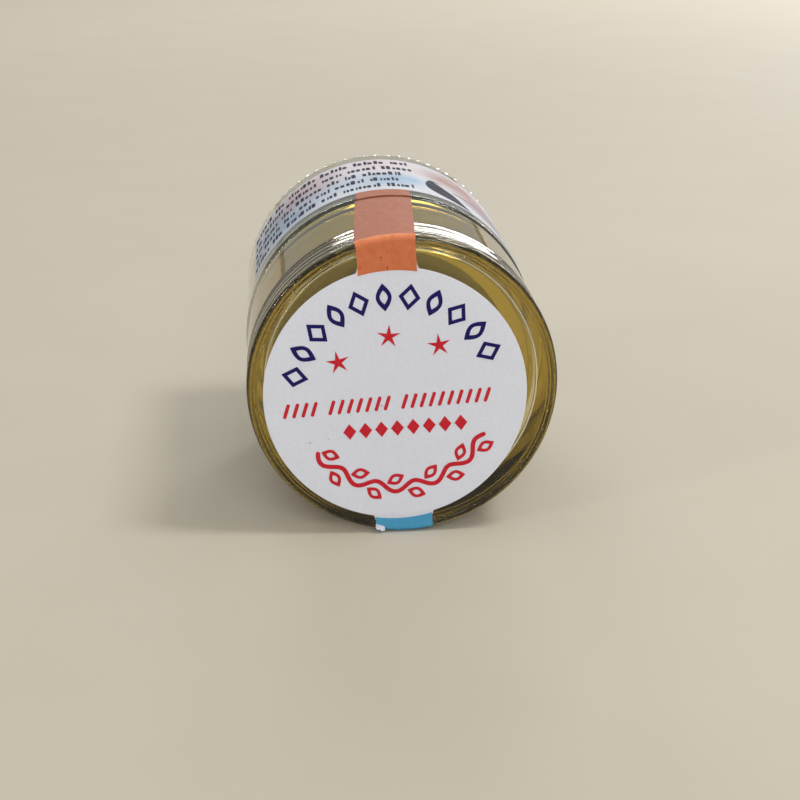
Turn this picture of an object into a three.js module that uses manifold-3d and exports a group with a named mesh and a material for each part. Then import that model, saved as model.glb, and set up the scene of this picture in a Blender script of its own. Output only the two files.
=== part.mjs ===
// Cosmetic cream jar lying on its side: a heavy clear glass jar with a two-piece screw lid.
//
// Millimetres, +Z up. The jar's axis runs along Y and the lid faces -Y.
// Every piece is drawn by its distance s behind the lid's front face and its radius r from the axis.
import * as THREE from 'three';
import { mergeVertices } from 'three/addons/utils/BufferGeometryUtils.js';
import Module from 'manifold-3d';

// Overall sizes
const LID_RADIUS = 25;
const LID_LENGTH = 26.3;
const JAR_RADIUS = 25.25;
const JAR_TOP = 26.8;
const JAR_BASE = 62.6;

// Screw thread shared by the neck and the gold cap
const LEAD = 4.2;
const THREAD_TURNS = 1.25;
const THREAD_START = 20.6;
const THREAD_ROOT_WIDTH = 1.5;
const THREAD_CREST_WIDTH = 0.7;
const NECK_RADIUS = 19.3;
const NECK_CREST = 20.5;
const CAP_BORE = 20.95;
const CAP_CREST = 19.75;

// Jar
const NECK_TOP = 12.1;
const MOUTH_RADIUS = 17;
const SHOULDER_FILLET = 1.2;
const HEEL_FILLET = 1.6;
const CAVITY_RADIUS = 20.3;
const CAVITY_FLOOR = 56.4;
const CAVITY_FILLET = 3;
const PUSH_UP_RADIUS = 14;
const PUSH_UP_DEPTH = 0.8;
const HEEL_BEADS = 78;
const HEEL_BEAD_RADIUS = 0.45;

// Lid
const SHELL_TOP_THICKNESS = 4.65;
const CROWN_FILLET = 0.8;
const GOLD_RADIUS = 22.25;
const GOLD_TOP = 8.5;
const GOLD_WALL = 1.2;
const FLANGE_RADIUS = 24.9;
const FLANGE_THICKNESS = 0.6;
const FIT_GAP = 0.15;
const LINER_RADIUS = 20.6;
const LINER_THICKNESS = 1;

// Paper
const PAPER = 0.15;
const GLUE_GAP = 0.02;
const STICKER_RADIUS = 21.15;
const STICKER_CENTRE = { x: -1.2, z: -1.2 };
const TAB_WIDTH = 9.25;
const TAB_LEAN = THREE.MathUtils.degToRad(3.6);
const TAB_DRIFT = THREE.MathUtils.degToRad(3.3);
const TOP_FOLD_X = -2.85;
const BOTTOM_FOLD_X = 0.25;
const BOTTOM_TAB_END = 25.2;
const SEAL_SLIT = { from: 26.55, to: 26.65 };
const SEAL_END = 31.1;
const LABEL = { from: 31.3, to: 57, thickness: 0.1, left: 158, right: -52 };

// Round pieces all share one faceting, turned half a facet so that a flat facet is lowest
const SEGMENTS = 72;
const HALF_FACET = Math.PI / SEGMENTS;
const AXIS_HEIGHT = JAR_RADIUS * Math.cos(HALF_FACET);
const MIDDLE = (JAR_BASE - PAPER - GLUE_GAP) / 2;

const wasm = await Module();
wasm.setup();

// ---------- shape helpers ----------

// A solid turned about the Y axis from [r, s] points that run clockwise round its section. The lathe
// wants them anticlockwise to face outwards.
function turned(profile) {
  const points = profile.map(([r, s]) => new THREE.Vector2(r, s)).reverse();
  return new THREE.LatheGeometry(points, SEGMENTS, HALF_FACET);
}

// Points on a quarter-turn or other arc of a profile, angles in degrees from +r towards +s
function arc(centreR, centreS, radius, from, to, steps) {
  const points = [];
  for (let i = 0; i <= steps; i += 1) {
    const angle = THREE.MathUtils.degToRad(from + ((to - from) * i) / steps);
    points.push([centreR + radius * Math.cos(angle), centreS + radius * Math.sin(angle)]);
  }
  return points;
}

function toSolid(geometry) {
  const bare = geometry.clone();
  bare.deleteAttribute('normal');
  bare.deleteAttribute('uv');
  const merged = mergeVertices(bare, 1e-4);
  return new wasm.Manifold(
    new wasm.Mesh({
      numProp: 3,
      vertProperties: new Float32Array(merged.attributes.position.array),
      triVerts: new Uint32Array(merged.index.array),
    }),
  );
}

function toGeometry(solid) {
  const mesh = solid.getMesh();
  const geometry = new THREE.BufferGeometry();
  geometry.setAttribute('position', new THREE.BufferAttribute(mesh.vertProperties, 3));
  geometry.setIndex(new THREE.BufferAttribute(mesh.triVerts, 1));
  geometry.computeVertexNormals();
  return geometry;
}

// A trapezoid ridge swept once round a right-hand helix about the Y axis, fading out at both ends.
// It starts at s = startS and winds towards the lid's face. rootRadius is buried a little in its wall.
function helicalRidge(rootRadius, crestRadius, startS) {
  const steps = Math.round(SEGMENTS * THREAD_TURNS);
  const fadeSteps = 5;
  const bury = 0.25 * Math.sign(rootRadius - crestRadius);
  const positions = [];
  for (let i = 0; i <= steps; i += 1) {
    const turn = i / SEGMENTS;
    const fade = Math.min(1, (Math.min(i, steps - i) + 0.5) / fadeSteps);
    const crest = rootRadius + (crestRadius - rootRadius) * fade;
    const s = startS - LEAD * turn;
    const section = [
      [rootRadius + bury, s - THREAD_ROOT_WIDTH / 2],
      [crest, s - (THREAD_CREST_WIDTH / 2) * fade],
      [crest, s + (THREAD_CREST_WIDTH / 2) * fade],
      [rootRadius + bury, s + THREAD_ROOT_WIDTH / 2],
    ];
    const angle = 2 * Math.PI * turn;
    for (const [r, y] of section) {
      positions.push(r * Math.cos(angle), y, r * Math.sin(angle));
    }
  }
  const index = [];
  const corners = 4;
  for (let i = 0; i < steps; i += 1) {
    for (let k = 0; k < corners; k += 1) {
      const a = i * corners + k;
      const b = i * corners + ((k + 1) % corners);
      index.push(a, b, a + corners, b, b + corners, a + corners);
    }
  }
  const last = steps * corners;
  index.push(0, 2, 1, 0, 3, 2);
  index.push(last, last + 1, last + 2, last, last + 2, last + 3);
  if (crestRadius < rootRadius) {
    index.reverse();
  }
  const geometry = new THREE.BufferGeometry();
  geometry.setAttribute('position', new THREE.Float32BufferAttribute(positions, 3));
  geometry.setIndex(index);
  return geometry;
}

// A straight strip that cuts a paper tab out of a wrapped sheet. On the lid's face it runs through the
// sticker's centre with a small lean, and past the fold it drifts sideways along the lid's wall.
function tabCutter(up, foldX) {
  const reach = 30;
  const onFace = new THREE.BoxGeometry(TAB_WIDTH, 6, reach);
  onFace.translate(0, 0, (up * reach) / 2);
  onFace.rotateY(-TAB_LEAN);
  onFace.translate(STICKER_CENTRE.x, -1, STICKER_CENTRE.z);
  const onWall = new THREE.BoxGeometry(TAB_WIDTH, 40, reach);
  onWall.translate(0, 20, (up * (reach + 20)) / 2);
  onWall.rotateZ(-TAB_DRIFT);
  onWall.translate(foldX, 0, 0);
  return toSolid(onFace).add(toSolid(onWall));
}

// A thin sheet wrapped over the lid's face and front edge and along its wall to s = end
function wrappedSheet(end) {
  const inner = LID_RADIUS + GLUE_GAP;
  const outer = inner + PAPER;
  const innerFillet = arc(LID_RADIUS - CROWN_FILLET, CROWN_FILLET, CROWN_FILLET + GLUE_GAP, 270, 360, 3);
  const outerFillet = arc(LID_RADIUS - CROWN_FILLET, CROWN_FILLET, CROWN_FILLET + GLUE_GAP + PAPER, 360, 270, 3);
  return turned([
    [10, -GLUE_GAP],
    ...innerFillet,
    [inner, end],
    [outer, end],
    ...outerFillet,
    [10, -GLUE_GAP - PAPER],
    [10, -GLUE_GAP],
  ]);
}

// ---------- jar pieces ----------

// One small bead for each mark of the ring moulded round the heel
function heelBeads() {
  const beads = [];
  const centreR = JAR_RADIUS - HEEL_FILLET + (HEEL_FILLET - 0.1) * Math.SQRT1_2;
  const centreS = JAR_BASE - HEEL_FILLET + (HEEL_FILLET - 0.1) * Math.SQRT1_2;
  for (let i = 0; i < HEEL_BEADS; i += 1) {
    const bead = new THREE.OctahedronGeometry(HEEL_BEAD_RADIUS, 0);
    bead.translate(0, centreS, centreR);
    bead.rotateY((2 * Math.PI * (i + 0.5)) / HEEL_BEADS);
    beads.push(toSolid(bead));
  }
  return wasm.Manifold.union(beads);
}

function glassJar() {
  const body = turned([
    [0, JAR_BASE - PUSH_UP_DEPTH],
    [PUSH_UP_RADIUS, JAR_BASE - PUSH_UP_DEPTH],
    [PUSH_UP_RADIUS + 1.4, JAR_BASE],
    ...arc(JAR_RADIUS - HEEL_FILLET, JAR_BASE - HEEL_FILLET, HEEL_FILLET, 90, 0, 3),
    ...arc(JAR_RADIUS - SHOULDER_FILLET, JAR_TOP + SHOULDER_FILLET, SHOULDER_FILLET, 360, 270, 3),
    [NECK_RADIUS + 0.5, JAR_TOP],
    [NECK_RADIUS, JAR_TOP - 0.5],
    ...arc(NECK_RADIUS - 0.5, NECK_TOP + 0.5, 0.5, 360, 270, 2),
    [MOUTH_RADIUS + 0.4, NECK_TOP],
    [MOUTH_RADIUS, NECK_TOP + 0.4],
    [MOUTH_RADIUS, JAR_TOP + 1.6],
    [CAVITY_RADIUS, JAR_TOP + 6.2],
    ...arc(CAVITY_RADIUS - CAVITY_FILLET, CAVITY_FLOOR - CAVITY_FILLET, CAVITY_FILLET, 0, 90, 2),
    [0, CAVITY_FLOOR],
  ]);
  const thread = toSolid(helicalRidge(NECK_RADIUS, NECK_CREST, THREAD_START));
  return toGeometry(toSolid(body).add(thread).add(heelBeads()));
}

function cream() {
  const gap = 0.3;
  const surface = JAR_TOP + 6.2;
  const radius = CAVITY_RADIUS - gap;
  const floor = CAVITY_FLOOR - gap;
  return turned([
    [0, floor],
    ...arc(radius - CAVITY_FILLET, floor - CAVITY_FILLET, CAVITY_FILLET, 90, 0, 2),
    [radius, surface + 0.6],
    [radius - 0.8, surface],
    [0, surface],
  ]);
}

function bodyLabel() {
  const inner = JAR_RADIUS + GLUE_GAP;
  const outer = inner + LABEL.thickness;
  const sleeve = turned([
    [inner, LABEL.to],
    [outer, LABEL.to],
    [outer, LABEL.from],
    [inner, LABEL.from],
    [inner, LABEL.to],
  ]);
  const missing = new THREE.Shape();
  const reach = 40;
  const steps = 8;
  missing.moveTo(0, 0);
  for (let i = 0; i <= steps; i += 1) {
    const degrees = LABEL.left + ((360 + LABEL.right - LABEL.left) * i) / steps;
    const angle = THREE.MathUtils.degToRad(degrees);
    missing.lineTo(reach * Math.cos(angle), reach * Math.sin(angle));
  }
  const wedge = new THREE.ExtrudeGeometry(missing, { depth: 60, bevelEnabled: false });
  wedge.rotateX(Math.PI / 2);
  wedge.translate(0, 70, 0);
  return toGeometry(toSolid(sleeve).subtract(toSolid(wedge)));
}

// The end of the orange seal that stays on the jar when the seal is slit
function sealTabEnd() {
  const inner = JAR_RADIUS + GLUE_GAP;
  const sleeve = turned([
    [inner, SEAL_END],
    [inner + PAPER, SEAL_END],
    [inner + PAPER, SEAL_SLIT.to],
    [inner, SEAL_SLIT.to],
    [inner, SEAL_END],
  ]);
  return toGeometry(toSolid(sleeve).intersect(tabCutter(1, TOP_FOLD_X)));
}

// A push-in dish with a rim that lies on the jar's mouth and a finger tab in its hollow
function sealingDisc() {
  const rimRadius = NECK_RADIUS - 0.4;
  const plug = MOUTH_RADIUS - 0.3;
  const top = NECK_TOP - 0.9;
  const rimUnderside = NECK_TOP - 0.2;
  const dish = turned([
    [0, top + 2.8],
    [plug - 0.3, top + 2.8],
    [plug, top + 2.5],
    [plug, rimUnderside],
    [rimRadius, rimUnderside],
    [rimRadius, top],
    [plug - 1, top],
    [plug - 1, top + 2],
    [0, top + 2],
  ]);
  const outline = new THREE.Shape();
  outline.moveTo(-5, 15.5);
  outline.lineTo(-5, 7);
  outline.absarc(0, 7, 5, Math.PI, 2 * Math.PI, false);
  outline.lineTo(5, 15.5);
  const tab = new THREE.ExtrudeGeometry(outline, { depth: 0.7, bevelEnabled: false, curveSegments: 8 });
  tab.rotateX(Math.PI / 2);
  tab.translate(0, top + 1.3, 0);
  const foot = new THREE.BoxGeometry(10, 1.4, 2.2);
  foot.translate(0, top + 1.5, 14.6);
  return toGeometry(toSolid(dish).add(toSolid(tab)).add(toSolid(foot)));
}

// ---------- lid pieces ----------

// The clear outer cap, which stands on the gold cap's flange. A flat gap of air is closed in between its
// thick top and the gold cap's top.
function lidShell() {
  const bore = GOLD_RADIUS + FIT_GAP;
  const corner = 0.5;
  const end = LID_LENGTH - FLANGE_THICKNESS - FIT_GAP;
  return turned([
    [0, SHELL_TOP_THICKNESS],
    [bore - corner, SHELL_TOP_THICKNESS],
    [bore, SHELL_TOP_THICKNESS + corner],
    [bore, end],
    [LID_RADIUS - 0.2, end],
    [LID_RADIUS, end - 0.2],
    ...arc(LID_RADIUS - CROWN_FILLET, CROWN_FILLET, CROWN_FILLET, 360, 270, 3),
    [0, 0],
  ]);
}

// The gold cap with its screw thread and a flange that closes the clear shell at its open end
function lidInnerCap() {
  const ceiling = GOLD_TOP + GOLD_WALL;
  const flangeFront = LID_LENGTH - FLANGE_THICKNESS;
  const cap = turned([
    [0, ceiling],
    [CAP_BORE - 0.3, ceiling],
    [CAP_BORE, ceiling + 0.3],
    [CAP_BORE, LID_LENGTH],
    [FLANGE_RADIUS, LID_LENGTH],
    [FLANGE_RADIUS, flangeFront],
    [GOLD_RADIUS, flangeFront],
    [GOLD_RADIUS, GOLD_TOP + 0.4],
    [GOLD_RADIUS - 0.4, GOLD_TOP],
    [0, GOLD_TOP],
  ]);
  const thread = toSolid(helicalRidge(CAP_BORE, CAP_CREST, THREAD_START + LEAD / 2));
  return toGeometry(toSolid(cap).add(thread));
}

function lidLiner() {
  const top = GOLD_TOP + GOLD_WALL + FIT_GAP;
  return turned([
    [0, top + LINER_THICKNESS],
    [LINER_RADIUS, top + LINER_THICKNESS],
    [LINER_RADIUS, top],
    [0, top],
  ]);
}

// One sheet: the round front, the top tab as far as the slit and the bottom tab under the lid
function lidSticker() {
  const disc = new THREE.CylinderGeometry(STICKER_RADIUS, STICKER_RADIUS, PAPER, SEGMENTS);
  disc.translate(STICKER_CENTRE.x, -GLUE_GAP - PAPER / 2, STICKER_CENTRE.z);
  const topTab = toSolid(wrappedSheet(SEAL_SLIT.from)).intersect(tabCutter(1, TOP_FOLD_X));
  const bottomTab = toSolid(wrappedSheet(BOTTOM_TAB_END)).intersect(tabCutter(-1, BOTTOM_FOLD_X));
  return toGeometry(toSolid(disc).add(topTab).add(bottomTab));
}

// ---------- assembly ----------

const CLEAR_GLASS = { color: 0xdfe3da, roughness: 0.05, metalness: 0, transparent: true, opacity: 0.35 };
const CLEAR_ACRYLIC = { color: 0xe6e4dc, roughness: 0.06, metalness: 0, transparent: true, opacity: 0.35 };
const GOLD = { color: 0x9c8238, roughness: 0.12, metalness: 1 };
const WHITE_PAPER = { color: 0xd0cfd7, roughness: 0.55, metalness: 0 };
const ORANGE_PAPER = { color: 0xc36e41, roughness: 0.6, metalness: 0 };
const WHITE_PLASTIC = { color: 0xe8e6e0, roughness: 0.4, metalness: 0 };
const WHITE_FOAM = { color: 0xe9e8e4, roughness: 0.9, metalness: 0 };
const CREAM = { color: 0xefe6d2, roughness: 0.5, metalness: 0 };

const PIECES = [
  ['glass_jar', glassJar(), CLEAR_GLASS],
  ['cream', cream(), CREAM],
  ['body_label', bodyLabel(), WHITE_PAPER],
  ['seal_tab_end', sealTabEnd(), ORANGE_PAPER],
  ['sealing_disc', sealingDisc(), WHITE_PLASTIC],
  ['lid_liner', lidLiner(), WHITE_FOAM],
  ['lid_inner_cap', lidInnerCap(), GOLD],
  ['lid_shell', lidShell(), CLEAR_ACRYLIC],
  ['lid_sticker', lidSticker(), WHITE_PAPER],
];

const jar = new THREE.Group();
jar.position.set(0, -MIDDLE, AXIS_HEIGHT);
for (const [name, geometry, finish] of PIECES) {
  const mesh = new THREE.Mesh(geometry, new THREE.MeshStandardMaterial(finish));
  mesh.name = name;
  jar.add(mesh);
}

export default jar;
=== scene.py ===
"""Looks of the cosmetic cream jar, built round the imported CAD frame. Metres, +Z up, jar's axis along Y."""
import math
import random

import bmesh
import bpy
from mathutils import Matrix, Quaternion, Vector


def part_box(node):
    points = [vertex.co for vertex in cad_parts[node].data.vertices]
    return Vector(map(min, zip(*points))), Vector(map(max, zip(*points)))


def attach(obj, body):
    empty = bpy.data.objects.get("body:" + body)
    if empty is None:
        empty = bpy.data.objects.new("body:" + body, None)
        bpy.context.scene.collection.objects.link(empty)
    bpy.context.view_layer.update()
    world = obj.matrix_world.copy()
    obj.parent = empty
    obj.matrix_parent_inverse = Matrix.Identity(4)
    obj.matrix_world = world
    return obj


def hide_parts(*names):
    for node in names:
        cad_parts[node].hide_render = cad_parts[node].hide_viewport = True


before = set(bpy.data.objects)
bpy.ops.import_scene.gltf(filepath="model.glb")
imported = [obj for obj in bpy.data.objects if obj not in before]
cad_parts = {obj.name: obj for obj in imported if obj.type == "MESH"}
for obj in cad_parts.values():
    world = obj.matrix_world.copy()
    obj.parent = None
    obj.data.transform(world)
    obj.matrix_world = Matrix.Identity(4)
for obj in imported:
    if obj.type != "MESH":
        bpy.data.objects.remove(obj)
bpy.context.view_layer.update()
MM = 0.001

# ---------------------------------------------------------------- sizes from the frame

JAR_LO, JAR_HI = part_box("glass_jar")
LID_LO, LID_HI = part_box("lid_shell")
GOLD_LO, GOLD_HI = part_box("lid_inner_cap")
STICKER_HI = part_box("lid_sticker")[1]
LABEL_LO, LABEL_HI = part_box("body_label")
SEAL_LO, SEAL_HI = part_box("seal_tab_end")
DISC_LO, DISC_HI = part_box("sealing_disc")
LINER_LO, LINER_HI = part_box("lid_liner")

AXIS_Z = (JAR_LO.z + JAR_HI.z) / 2
JAR_RADIUS = (JAR_HI.x - JAR_LO.x) / 2
LID_RADIUS = (LID_HI.x - LID_LO.x) / 2
FLANGE_RADIUS = (GOLD_HI.x - GOLD_LO.x) / 2
LID_FRONT = LID_LO.y
LID_END = GOLD_HI.y
GOLD_TOP = GOLD_LO.y
JAR_BASE = JAR_HI.y
CREAM_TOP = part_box("cream")[0].y
NECK_TOP = JAR_LO.y

# Details of the CAD part that a box can't give
LEAD = 4.2 * MM
THREAD_TURNS = 1.25
THREAD_START = LID_FRONT + 20.6 * MM
THREAD_ROOT = 1.5 * MM
THREAD_CREST = 0.7 * MM
NECK_RADIUS = 19.3 * MM
NECK_CREST = 20.5 * MM
CAP_BORE = 20.95 * MM
CAP_CREST = 19.75 * MM
MOUTH_RADIUS = 17 * MM
SHOULDER_Y = LID_FRONT + 26.8 * MM
CAVITY_RADIUS = 20.3 * MM
CAVITY_FLOOR = LID_FRONT + 56.4 * MM
CAVITY_FILLET = 3 * MM
CROWN_FILLET = 0.8 * MM
SHELL_CEILING = LID_FRONT + 4.65 * MM
GOLD_RADIUS = 22.25 * MM
FLANGE_FRONT = LID_HI.y + 0.15 * MM
STICKER_X = -1.2 * MM
STICKER_Z = AXIS_Z - 1.2 * MM
STICKER_RADIUS = 21.15 * MM
TAB_WIDTH = 9.25 * MM
TAB_LEAN = math.radians(3.6)
TAB_DRIFT = math.radians(3.3)
LABEL_LEFT = math.radians(158)
LABEL_RIGHT = math.radians(-52)

# Gold, glue and cream touch the clear walls with no air between, so those surfaces cross by this much
CONTACT = 0.02 * MM

SEGMENTS = 256


# ---------------------------------------------------------------- mesh helpers

def new_object(name, bm, material, body, smooth_angle=35):
    """A finished piece from a bmesh: faces out, shaded smooth up to an angle, riding on its body."""
    bmesh.ops.recalc_face_normals(bm, faces=bm.faces)
    mesh = bpy.data.meshes.new(name)
    bm.to_mesh(mesh)
    bm.free()
    mesh.shade_smooth()
    mesh.set_sharp_from_angle(angle=math.radians(smooth_angle))
    mesh.materials.append(material)
    piece = bpy.data.objects.new(name, mesh)
    bpy.context.scene.collection.objects.link(piece)
    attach(piece, body)
    return piece


def on_axis(radius, angle, y):
    return Vector((radius * math.cos(angle), y, AXIS_Z + radius * math.sin(angle)))


def arc(centre_r, centre_y, radius, start, end, steps):
    """Profile points on an arc, angles in degrees from +r towards +y."""
    turns = [math.radians(start + (end - start) * i / steps) for i in range(steps + 1)]
    return [(centre_r + radius * math.cos(t), centre_y + radius * math.sin(t)) for t in turns]


def line(start, end, steps):
    """Profile points on a straight line, without its last point."""
    return [
        (start[0] + (end[0] - start[0]) * i / steps, start[1] + (end[1] - start[1]) * i / steps)
        for i in range(steps)
    ]


def join_rows(bm, a, b):
    """Faces between two rings of vertices. One may be a point or have a multiple of the other's count."""
    if len(a) == 1 or len(b) == 1:
        point, ring = (a[0], b) if len(a) == 1 else (b[0], a)
        for i in range(len(ring)):
            bm.faces.new((point, ring[i], ring[(i + 1) % len(ring)]))
        return
    if len(a) == len(b):
        for i in range(len(a)):
            j = (i + 1) % len(a)
            bm.faces.new((a[i], a[j], b[j], b[i]))
        return
    few, many = (a, b) if len(a) < len(b) else (b, a)
    ratio = len(many) // len(few)
    for i in range(len(few)):
        j = (i + 1) % len(few)
        run = [many[(i * ratio + k) % len(many)] for k in range(ratio, -1, -1)]
        bm.faces.new([few[i], few[j], *run])


def turned_rings(bm, profile, relief, segments):
    """A ring of vertices about the jar's axis for each (r, y) point, or one vertex on the axis.
    relief(r, y, angle) gives what is added to the radius there."""
    rings = []
    for r, y in profile:
        if r < 1e-7:
            rings.append([bm.verts.new(on_axis(0, 0, y))])
            continue
        turns = [2 * math.pi * i / segments for i in range(segments)]
        rings.append([
            bm.verts.new(on_axis(r + (relief(r, y, t) if relief else 0), t, y))
            for t in turns
        ])
    return rings


def turn_profile(bm, profile, relief=None, segments=SEGMENTS):
    """A closed solid turned from (r, y) points that start and end on the axis."""
    rings = turned_rings(bm, profile, relief, segments)
    for a, b in zip(rings, rings[1:]):
        join_rows(bm, a, b)


def thread_relief(root, crest, start_y, wall_test):
    """Relief of one helical thread ridge on the wall that wall_test(r) picks."""
    total = 2 * math.pi * THREAD_TURNS
    fade_angle = math.radians(25)

    def relief(r, y, angle):
        if not wall_test(r):
            return 0
        height = 0
        wind = angle
        while wind <= total:
            centre = start_y - LEAD * wind / (2 * math.pi)
            fade = min(1, wind / fade_angle, (total - wind) / fade_angle)
            slope = (THREAD_ROOT / 2 - abs(y - centre)) / (THREAD_ROOT / 2 - THREAD_CREST / 2)
            height = max(height, min(1, slope) * fade)
            wind += 2 * math.pi
        return (crest - root) * max(0, height)

    return relief


# ---------------------------------------------------------------- material helpers

def srgb(red, green, blue):
    """Linear colour of an 8-bit sRGB colour."""
    def linear(value):
        value /= 255
        return value / 12.92 if value <= 0.04045 else ((value + 0.055) / 1.055) ** 2.4
    return (linear(red), linear(green), linear(blue), 1)


class Nodes:
    """A short way to write a material's node tree."""

    def __init__(self, name):
        self.material = bpy.data.materials.new(name)
        self.material.use_nodes = True
        self.tree = self.material.node_tree
        self.shader = self.tree.nodes["Principled BSDF"]
        self.place = self.add("ShaderNodeTexCoord").outputs["Object"]

    def add(self, kind, **values):
        node = self.tree.nodes.new(kind)
        for key, value in values.items():
            setattr(node, key, value)
        return node

    def put(self, socket, value):
        if isinstance(value, (tuple, float, int)):
            socket.default_value = value
        else:
            self.tree.links.new(value, socket)

    def stretched(self, x, y, z):
        mapping = self.add("ShaderNodeMapping")
        mapping.inputs["Scale"].default_value = (x, y, z)
        self.put(mapping.inputs["Vector"], self.place)
        return mapping.outputs["Vector"]

    def noise(self, scale, detail=2, roughness=0.5, place=None):
        node = self.add("ShaderNodeTexNoise")
        node.inputs["Scale"].default_value = scale
        node.inputs["Detail"].default_value = detail
        node.inputs["Roughness"].default_value = roughness
        self.put(node.inputs["Vector"], place or self.place)
        return node.outputs["Fac"]

    def specks(self, scale, size, place=None):
        """1 inside small ragged specks of up to size, as a share of their spacing. Most are far smaller."""
        node = self.add("ShaderNodeTexVoronoi")
        node.inputs["Scale"].default_value = scale
        self.put(node.inputs["Vector"], place or self.place)
        reach = self.range(node.outputs["Color"], 0.3, 0.9, 0, size)
        ragged = self.range(self.noise(scale * 7, 2, 0.6), 0.3, 0.7, -size * 0.35, size * 0.35)
        inside = self.math("SUBTRACT", self.math("ADD", reach, ragged), node.outputs["Distance"])
        return self.range(inside, 0, size * 0.25, 0, 1)

    def range(self, value, low, high, to_low, to_high):
        node = self.add("ShaderNodeMapRange")
        node.inputs["From Min"].default_value = low
        node.inputs["From Max"].default_value = high
        node.inputs["To Min"].default_value = to_low
        node.inputs["To Max"].default_value = to_high
        self.put(node.inputs["Value"], value)
        return node.outputs["Result"]

    def math(self, operation, a, b):
        node = self.add("ShaderNodeMath", operation=operation)
        self.put(node.inputs[0], a)
        self.put(node.inputs[1], b)
        return node.outputs["Value"]

    def distance(self, point, flatten=(1, 1, 1)):
        """Distance of the surface from a point, leaving out the directions where flatten is 0."""
        away = self.add("ShaderNodeVectorMath", operation="SUBTRACT")
        self.put(away.inputs[0], self.place)
        away.inputs[1].default_value = point
        kept = self.add("ShaderNodeVectorMath", operation="MULTIPLY")
        self.put(kept.inputs[0], away.outputs["Vector"])
        kept.inputs[1].default_value = flatten
        length = self.add("ShaderNodeVectorMath", operation="LENGTH")
        self.put(length.inputs[0], kept.outputs["Vector"])
        return length.outputs["Value"]

    def patch(self, point, radius):
        """1 at a point on the surface, falling softly to 0 at a radius."""
        return self.range(self.distance(point), radius * 0.35, radius, 1, 0)

    def mix(self, factor, a, b):
        node = self.add("ShaderNodeMix", data_type="RGBA")
        for name, value in (("Factor", factor), ("A", a), ("B", b)):
            self.put([i for i in node.inputs if i.name == name and i.enabled][0], value)
        return [o for o in node.outputs if o.enabled][0]

    def bump(self, height, distance, before=None):
        node = self.add("ShaderNodeBump")
        node.inputs["Distance"].default_value = distance
        self.put(node.inputs["Height"], height)
        if before:
            self.put(node.inputs["Normal"], before)
        return node.outputs["Normal"]

    def set(self, **values):
        for key, value in values.items():
            self.put(self.shader.inputs[key.replace("_", " ")], value)
        return self.material


# ---------------------------------------------------------------- materials

def clear_acrylic():
    """Clear moulded lid: faint ripples, fine handling scratches, and small knocks round its front rim."""
    n = Nodes("clear_acrylic")
    from_axis = n.distance((0, 0, AXIS_Z), (1, 0, 1))
    near_edge = n.range(from_axis, LID_RADIUS - 2.6 * MM, LID_RADIUS - 1.2 * MM, 0, 1)
    near_front = n.range(n.distance((0, LID_FRONT, 0), (0, 1, 0)), 0.5 * MM, 2.5 * MM, 1, 0)
    rim = n.math("MULTIPLY", near_edge, near_front)
    knocks = n.math("MULTIPLY", n.range(n.noise(2400, 3, 0.7, n.stretched(1, 1.6, 1)), 0.58, 0.7, 0, 1), rim)
    ripple = n.bump(n.noise(150, 2, 0.5), 0.016 * MM)
    scratches = n.noise(260, 4, 0.7, n.stretched(1, 9, 1))
    return n.set(
        Base_Color=srgb(248, 243, 222),
        Transmission_Weight=1.0,
        IOR=1.49,
        Roughness=n.math("ADD", n.range(scratches, 0.45, 0.8, 0.01, 0.09), n.math("MULTIPLY", knocks, 0.2)),
        Normal=n.bump(knocks, 0.05 * MM, ripple),
    )


def clear_glass():
    """Pressed glass of the jar: slight green and slow waves in its surface."""
    n = Nodes("clear_glass")
    return n.set(
        Base_Color=srgb(243, 248, 240),
        Transmission_Weight=1.0,
        IOR=1.52,
        Roughness=n.range(n.noise(300, 3, 0.6), 0.4, 0.8, 0.01, 0.06),
        Normal=n.bump(n.noise(90, 2, 0.5), 0.03 * MM),
    )


def gold():
    """Metallised gold on moulded plastic, a greenish gold with a faint orange peel."""
    n = Nodes("gold_plating")
    tone = n.mix(n.noise(120, 3, 0.6), srgb(184, 162, 64), srgb(196, 174, 76))
    return n.set(
        Base_Color=tone,
        Metallic=1.0,
        Roughness=n.range(n.noise(500, 3, 0.6), 0.3, 0.8, 0.02, 0.1),
        Normal=n.bump(n.noise(120, 2, 0.5), 0.03 * MM),
    )


def paper(name, colour, darker, specks=0.0):
    """Satin print paper, thin enough for light to come through: fibres, faint mottling and a few specks."""
    n = Nodes(name)
    mottle = n.range(n.noise(1500, 4, 0.65), 0.3, 0.75, 0.3, 1)
    tone = n.mix(mottle, darker, colour)
    dirt = n.math("MULTIPLY", n.specks(340, 0.15), specks)
    return n.set(
        Base_Color=n.mix(dirt, tone, srgb(134, 120, 116)),
        Roughness=n.range(n.noise(900, 3, 0.6), 0.3, 0.8, 0.42, 0.6),
        Normal=n.bump(n.noise(2600, 4, 0.7), 0.008 * MM),
        Subsurface_Weight=0.8,
        Subsurface_Radius=(1.0, 1.0, 1.0),
        Subsurface_Scale=0.4 * MM,
    )


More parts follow.
